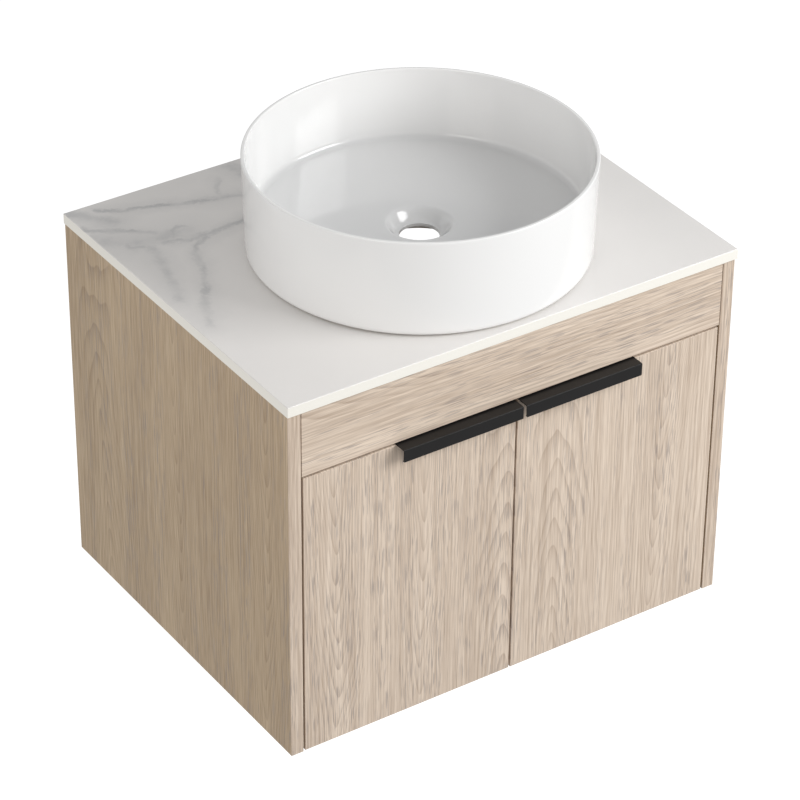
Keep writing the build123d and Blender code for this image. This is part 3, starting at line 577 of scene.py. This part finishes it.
def basin_profile(basin, radius, height):
    """The basin's section as (radius, height) points, round from the foot ring back to it."""
    inner = radius - basin.wall
    low_inner = inner - basin.draft
    low_radius = radius - basin.draft
    rim = basin.rim_round
    foot = low_radius - basin.foot_round
    hollow = foot - basin.foot_ring
    floor_r = low_inner - basin.floor_fillet
    fillet_top = basin.floor_edge + basin.floor_fillet
    lip_r = basin.waste_radius + basin.waste_lip
    points = [(hollow, 0.0)]
    points += arc((foot, basin.foot_round), basin.foot_round, -90, 0, 14)
    points += line((low_radius, basin.foot_round), (radius, height - rim), 24)
    points += arc((radius - rim, height - rim), rim, 0, 90, 10)
    points += arc((inner + rim, height - rim), rim, 90, 180, 10)
    points += line((inner, height - rim), (low_inner, fillet_top), 20)
    points += arc((floor_r, fillet_top), basin.floor_fillet, 0, -90, 16)
    points += line((floor_r, basin.floor_edge), (basin.dimple_radius, basin.dimple_height), 30)
    share = np.linspace(0, 1, 14)
    dip_r = basin.dimple_radius + (lip_r - basin.dimple_radius) * share
    slope = (basin.floor_edge - basin.dimple_height) / (floor_r - basin.dimple_radius)
    run, drop = basin.dimple_radius - lip_r, basin.dimple_height - basin.waste_height
    first = basin.dimple_height - slope * run * share * (1 - share) ** 2
    dip_z = first - drop * (3 * share ** 2 - 2 * share ** 3)
    points += list(zip(dip_r, dip_z))
    points += arc((lip_r, basin.waste_height - basin.waste_lip), basin.waste_lip, 90, 180, 8)
    points += [(basin.waste_radius, basin.boss_lift), (basin.boss_radius, basin.boss_lift)]
    points += [(basin.boss_radius, basin.recess)]
    points += [(hollow, basin.recess), (hollow, 0.0)]
    return points


class VANITY_OT_basin(bpy.types.Operator):
    """Turn the glazed basin and the bead of sealant that it stands on"""

    bl_idname = "vanity.basin"
    bl_label = "Basin"

    def execute(self, context):
        basin = context.scene.vanity_basin
        low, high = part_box("basin")
        centre = ((low[0] + high[0]) / 2, (low[1] + high[1]) / 2, low[2])
        radius, height = (high[0] - low[0]) / 2, high[2] - low[2]
        profile = basin_profile(basin, radius, height)
        bowl = make_piece("vessel_basin", [turn(profile, centre, (0, 0, 1), TURN_STEPS)], glaze_finish())
        stand_in(bowl, "basin")
        self.seal(centre)
        return {"FINISHED"}

    def seal(self, centre):
        """The bead: a ring whose outer and inner sides bulge a little between the foot and the stone."""
        low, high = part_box("basin_seal")
        basin = bpy.context.scene.vanity_basin
        outer = (high[0] - low[0]) / 2
        inner = outer - basin.foot_ring + 4 * MM
        thick = high[2] - low[2]
        bulge = 0.25 * thick
        share = np.linspace(0, 1, 7)
        swell = bulge * 4 * share * (1 - share) - bulge
        profile = list(zip(outer + swell, share * thick))
        profile += list(zip(inner - swell, thick - share * thick))
        profile.append(profile[0])
        f = Finish("sealant", roughness=0.35)
        tone = f.noise(f.place(), detail=2.0, scale=220.0)
        f.set("Base color", f.blend(tone, (0.50, 0.50, 0.48), (0.62, 0.62, 0.60)))
        f.bump(tone, 0.05 * MM, 0.5)
        ring = turn(profile, (centre[0], centre[1], low[2]), (0, 0, 1), SEAL_STEPS)
        stand_in(make_piece("sealant_bead", [ring], f), "basin_seal")


# ---------------------------------------------------------------- fittings

def metal_finish(name, tone, roughness, scale):
    """A metal with fine roller marks, a little tarnish and an uneven polish."""
    f = Finish(name, metallic=1.0)
    place = f.place()
    mark = f.noise(place, detail=4.0, roughness=0.6, scale=scale)
    smear = f.noise(place, detail=2.0, scale=scale / 12)
    darker = tuple(c * 0.78 for c in tone)
    f.set("Base color", f.blend(f.span(smear, 0.3, 0.75, 0.0, 0.6), tuple(tone), darker))
    f.set("Roughness", f.span(mark, 0.25, 0.75, roughness * 0.8, roughness * 1.25))
    f.bump(mark, 0.01 * MM, 0.4)
    return f


def black_finish(name, tone):
    """Fine matt black anodising over a bead-blasted grain."""
    f = Finish(name)
    f.set("Specular IOR Level", 0.3)
    place = f.place()
    grain = f.noise(place, detail=3.0, roughness=0.6, scale=2600.0)
    smear = f.noise(place, detail=2.0, scale=35.0)
    lighter = tuple(c * 1.5 for c in tone)
    f.set("Base color", f.blend(f.span(smear, 0.3, 0.7, 0.0, 0.5), tuple(tone), lighter))
    f.set("Roughness", f.span(grain, 0.25, 0.75, 0.36, 0.50))
    f.bump(grain, 0.01 * MM, 0.3)
    return f


def screw_patches(node, axis, head_sign, head_radius, head_height, shank_radius, countersunk=False):
    """Cross-recess screws on the places of a node's solids.

    The profile runs from the head's middle over a dome, down the shank and to a pointed tip. The
    recess sinks the head where the point lies within an arm of the cross, and the thread makes the
    radius follow a ridge that climbs one pitch a turn.
    """
    metal = bpy.context.scene.vanity_metal
    direction = np.zeros(3)
    direction[axis] = head_sign
    arm_w, arm_r = head_radius * 0.20, head_radius * 0.62
    patches = []
    for low, high in islands(node):
        middle = (low + high) / 2
        top = middle.copy()
        top[axis] = high[axis] if head_sign > 0 else low[axis]
        tip = high[axis] - low[axis]
        dome = 0.0 if countersunk else head_height * 0.45
        rings = np.linspace(0.0, 1.0, 15)
        head = [(head_radius * r, -dome * r ** 2) for r in rings]
        if countersunk:
            rim = [(shank_radius, -head_height)]
        else:
            rim = [(head_radius * 0.985, -head_height), (shank_radius, -head_height)]
        point = 2.2 * shank_radius
        body = line((shank_radius, -head_height - 0.05 * MM), (shank_radius, -tip + point), 44)
        end = [(shank_radius, -tip + point), (shank_radius * 0.5, -tip + point / 2), (0.0, -tip)]
        shank_from = -head_height - 0.6 * MM

        def ripple(radius, height, angle):
            x, y = radius * np.cos(angle), radius * np.sin(angle)
            across = np.minimum(np.abs(x), np.abs(y))
            on_head = height > -head_height * 0.98
            reach = np.clip((arm_r - radius) / (arm_r * 0.25), 0, 1)
            width = np.clip((arm_w - across) / (arm_w * 0.35), 0, 1)
            sunk = metal.recess_depth * reach * width * (1 - 0.5 * radius / arm_r)
            sunk = np.minimum(sunk, head_height * 0.8)
            height = np.where(on_head & (radius < arm_r), height - sunk, height)
            turns = height / metal.thread_pitch + angle / (2 * math.pi)
            ridge = np.abs(2 * (turns - np.floor(turns)) - 1)
            threaded = (height < shank_from) & (height > -tip + point)
            radius = np.where(threaded, radius - metal.thread_depth * (1 - ridge), radius)
            return radius, height

        patches.append(turn(head + rim + body + end, top, direction, SCREW_STEPS, ripple))
    return patches


class VANITY_OT_screws(bpy.types.Operator):
    """Make every screw with a cross recess and a thread"""

    bl_idname = "vanity.screws"
    bl_label = "Screws"

    def execute(self, context):
        metal = context.scene.vanity_metal
        zinc = metal_finish("zinc_plated", metal.zinc, 0.30, 900.0)
        black = black_finish("black_screws", metal.black)
        # node, axis, sign of the head, radius and height of the head, radius of the shank, countersunk
        jobs = [("false_front_screws", 1, 1, 4.0, 2.0, 2.0, False, zinc)]
        for side, inward in (("left", 1), ("right", -1)):
            jobs += [
                ("cup_screws_" + side, 1, 1, 3.2, 1.8, 1.75, False, zinc),
                ("plate_screws_" + side, 0, inward, 4.0, 2.0, 2.5, False, zinc),
                ("arm_screws_" + side, 0, inward, 3.5, 1.6, 2.0, False, zinc),
                ("handle_screws_" + side, 2, 1, 2.7, 1.2, 1.5, True, black),
            ]
        for node, axis, sign, head_r, head_h, shank_r, sunk, finish in jobs:
            patches = screw_patches(node, axis, sign, head_r * MM, head_h * MM, shank_r * MM, sunk)
            stand_in(make_piece(node + "_threaded", patches, finish), node)
        return {"FINISHED"}


class VANITY_OT_fittings(bpy.types.Operator):
    """Finish the hinges, pulls, cams, bumpers, rivets and dowels"""

    bl_idname = "vanity.fittings"
    bl_label = "Fittings"

    def execute(self, context):
        metal = context.scene.vanity_metal
        nickel = metal_finish("nickel_pressing", metal.nickel, 0.28, 620.0)
        zinc = metal_finish("bare_zinc", metal.zinc, 0.42, 500.0)
        pins = metal_finish("bright_pins", metal.zinc, 0.22, 1200.0)
        pull = black_finish("black_anodised", metal.black)
        dress(["cam_locks"], zinc)
        dress(["cam_bolts"], pins)
        pressings = ("hinge_cups_", "hinge_arms_", "hinge_links_", "mounting_plates_")
        for side in SIDES:
            dress([name + side for name in pressings], nickel)
            dress(["cup_pins_" + side], pins)
            dress(["handle_" + side], pull)
            self.bumpers("door_bumpers_" + side)
            self.rivets("arm_rivets_" + side, pins)
        self.dowels("dowels")
        return {"FINISHED"}

    def bumpers(self, node):
        """Domed soft pads: radius over a quarter ellipse, flat on the door's back."""
        f = Finish(node + "_soft", roughness=0.4, transmission_weight=0.35, ior=1.45)
        haze = f.noise(f.place(), detail=2.0, scale=500.0)
        f.set("Base color", f.blend(haze, (0.80, 0.80, 0.77), (0.90, 0.90, 0.88)))
        f.bump(haze, 0.02 * MM, 0.4)
        patches = []
        for low, high in islands(node):
            middle = (low + high) / 2
            radius, thick = (high[0] - low[0]) / 2, high[1] - low[1]
            share = np.radians(np.linspace(90, 0, 14))
            shoulder = 0.35 * thick
            dome = thick - shoulder
            profile = [(radius * math.cos(a), shoulder + dome * math.sin(a)) for a in share]
            profile += [(radius, 0.02 * MM), (radius * 0.98, 0.0), (0.0, 0.0)]
            patches.append(turn(profile, (middle[0], low[1], middle[2]), (0, 1, 0), 48))
        stand_in(make_piece(node + "_domed", patches, f), node)

    def rivets(self, node, finish):
        """Short rivets with domed heads on the outer side of each cheek."""
        patches = []
        for index, (low, high) in enumerate(islands(node)):
            middle = (low + high) / 2
            outer = 1 if index % 2 else -1
            start = (middle[0], middle[1], low[2] if outer > 0 else high[2])
            head_r, tall = (high[0] - low[0]) / 2, high[2] - low[2]
            head_h, pin_r = 0.6 * MM, 1.2 * MM
            profile = [(0.0, 0.0), (pin_r, 0.0), (pin_r, tall - head_h), (head_r, tall - head_h)]
            dome = np.radians(np.linspace(10, 90, 10))
            profile += [(head_r * math.cos(a), tall - head_h + head_h * math.sin(a)) for a in dome]
            patches.append(turn(profile, start, (0, 0, outer), 32))
        stand_in(make_piece(node + "_domed", patches, finish), node)

    def dowels(self, node):
        """Fluted beech dowels: the radius dips in twelve flutes, and both ends are chamfered."""
        f = Finish("beech_dowels", roughness=0.6)
        x, y, z = f.split(f.place())
        grain = f.noise(f.join(f.math("MULTIPLY", x, 0.08), y, z), detail=4.0, scale=900.0)
        f.set("Base color", f.blend(f.span(grain, 0.3, 0.7), (0.72, 0.52, 0.34), (0.52, 0.35, 0.21)))
        f.bump(grain, 0.05 * MM, 0.5)

        def flutes(radius, height, angle):
            dip = 0.35 * MM * np.clip(np.cos(12 * angle), 0, 1)
            return np.where(radius > 3.6 * MM, radius - dip, radius), height

        patches = []
        for low, high in islands(node):
            middle = (low + high) / 2
            radius, long = (high[1] - low[1]) / 2, high[0] - low[0]
            chamfer = 0.8 * MM
            profile = [(0.0, 0.0), (radius - chamfer, 0.0), (radius, chamfer)]
            profile += [(radius, long - chamfer), (radius - chamfer, long), (0.0, long)]
            patches.append(turn(profile, (low[0], middle[1], middle[2]), (1, 0, 0), 72, flutes))
        stand_in(make_piece("dowels_fluted", patches, f), node)


# ---------------------------------------------------------------- stage

CAMERA_PLACE = (-1.9296, -3.1162, 2.5177)
CAMERA_AIM = (0.0001, -0.2474, 0.2435)  # the lights face this point too
KEY_PLACE, KEY_SIZE = (2.0, -2.55, 1.9), 1.9
FILL_PLACE, FILL_SIZE = (-2.1, -1.1, 1.25), 1.2
WHITE, WARM = (1.0, 1.0, 1.0), (1.0, 0.96, 0.92)
BACKDROP = 1.05  # strength of the surround as the camera sees it
FLOOR_HALF = 9.0


def look(place, aim, roll=0.0):
    """The rotation that looks from a place to an aim with +Z up, turned by a roll."""
    back = np.array(place, dtype=float) - np.array(aim, dtype=float)
    back /= np.linalg.norm(back)
    right = np.cross((0.0, 0.0, 1.0), back)
    right /= np.linalg.norm(right)
    up = np.cross(back, right)
    turned = math.cos(roll) * right + math.sin(roll) * up
    up = np.cross(back, turned)
    return Matrix((turned, up, back)).transposed().to_4x4()


class VANITY_OT_stage(bpy.types.Operator):
    """Set the pale floor, the soft lights and the camera"""

    bl_idname = "vanity.stage"
    bl_label = "Stage"

    def execute(self, context):
        self.surroundings(context.scene)
        self.floor(context.scene.vanity_stage)
        self.lights(context.scene.vanity_stage)
        self.camera(context.scene)
        return {"FINISHED"}

    def surroundings(self, scene):
        """A white surround, dimmer as a light than as a backdrop and dimmer overhead than level."""
        world = bpy.data.worlds.new("studio")
        scene.world = world
        world.use_nodes = True
        nodes, links = world.node_tree.nodes, world.node_tree.links
        back = nodes["Background"]
        back.inputs["Color"].default_value = (1.0, 1.0, 1.0, 1.0)
        path = nodes.new("ShaderNodeLightPath")
        rise = nodes.new("ShaderNodeSeparateXYZ")
        links.new(nodes.new("ShaderNodeTexCoord").outputs["Generated"], rise.inputs[0])
        fade = nodes.new("ShaderNodeMapRange")
        fade.inputs["To Min"].default_value = scene.vanity_stage.level_light
        fade.inputs["To Max"].default_value = scene.vanity_stage.top_light
        links.new(rise.outputs["Z"], fade.inputs["Value"])
        strength = nodes.new("ShaderNodeMapRange")
        strength.inputs["To Max"].default_value = BACKDROP
        links.new(fade.outputs[0], strength.inputs["To Min"])
        links.new(path.outputs["Is Camera Ray"], strength.inputs["Value"])
        links.new(strength.outputs[0], back.inputs["Strength"])
        scene.view_settings.view_transform = "Standard"
        scene.view_settings.look = "None"

    def floor(self, stage):
        """A wide pale floor that glows for the camera and throws no light back."""
        mesh = bpy.data.meshes.new("floor")
        corners = [(-FLOOR_HALF, -FLOOR_HALF), (FLOOR_HALF, -FLOOR_HALF), (FLOOR_HALF, FLOOR_HALF),
                   (-FLOOR_HALF, FLOOR_HALF)]
        mesh.from_pydata([(x, y, stage.floor_height) for x, y in corners], [], [(0, 1, 2, 3)])
        f = Finish("pale_floor", roughness=0.9)
        f.set("Base color", (0.55, 0.55, 0.55))
        f.set("Emission Color", WHITE)
        f.set("Emission Strength", 0.72)
        f.set("Specular IOR Level", 0.0)
        mesh.materials.append(f.material)
        floor = bpy.data.objects.new("floor", mesh)
        bpy.context.collection.objects.link(floor)
        floor.visible_diffuse = False
        floor.visible_glossy = False

    def lights(self, stage):
        """A large key at the front right, and a smaller warm fill at the left."""
        plan = [
            ("key", KEY_PLACE, KEY_SIZE, stage.key_power, WHITE),
            ("fill", FILL_PLACE, FILL_SIZE, stage.fill_power, WARM),
        ]
        for name, place, size, power, tone in plan:
            light = bpy.data.lights.new(name, "AREA")
            light.shape = "SQUARE"
            light.size = size
            light.energy = power
            light.color = tone
            lamp = bpy.data.objects.new(name, light)
            lamp.matrix_world = look(place, CAMERA_AIM)
            lamp.location = place
            bpy.context.collection.objects.link(lamp)

    def camera(self, scene):
        """A long lens from the front left, above the basin."""
        data = bpy.data.cameras.new("camera")
        data.lens = scene.vanity_stage.lens
        data.sensor_width = 36.0
        data.clip_end = 60.0
        camera = bpy.data.objects.new("camera", data)
        camera.matrix_world = look(CAMERA_PLACE, CAMERA_AIM, scene.vanity_stage.roll)
        camera.location = CAMERA_PLACE
        bpy.context.collection.objects.link(camera)
        scene.camera = camera


# ---------------------------------------------------------------- panel and registration

STEPS = (VANITY_OT_stage, VANITY_OT_oak, VANITY_OT_stone, VANITY_OT_basin, VANITY_OT_screws,
         VANITY_OT_fittings)


class VANITY_PT_panel(bpy.types.Panel):
    """Every step of the vanity's making, with its settings"""

    bl_label = "Vanity"
    bl_idname = "VANITY_PT_panel"
    bl_space_type = "VIEW_3D"
    bl_region_type = "UI"
    bl_category = "Vanity"

    def draw(self, context):
        for step in STEPS:
            self.layout.operator(step.bl_idname)
        for key, group in SETTINGS.items():
            box = self.layout.box()
            box.label(text=group.__name__)
            for field in group.__annotations__:
                box.prop(getattr(context.scene, key), field)


CLASSES = tuple(SETTINGS.values()) + STEPS + (VANITY_PT_panel,)


def register():
    for cls in CLASSES:
        bpy.utils.register_class(cls)
    for key, group in SETTINGS.items():
        setattr(bpy.types.Scene, key, PointerProperty(type=group))


def unregister():
    for key in SETTINGS:
        delattr(bpy.types.Scene, key)
    for cls in reversed(CLASSES):
        bpy.utils.unregister_class(cls)


def main():
    register()
    for step in STEPS:
        group, action = step.bl_idname.split(".")
        getattr(getattr(bpy.ops, group), action)()


if __name__ == "__main__":
    main()
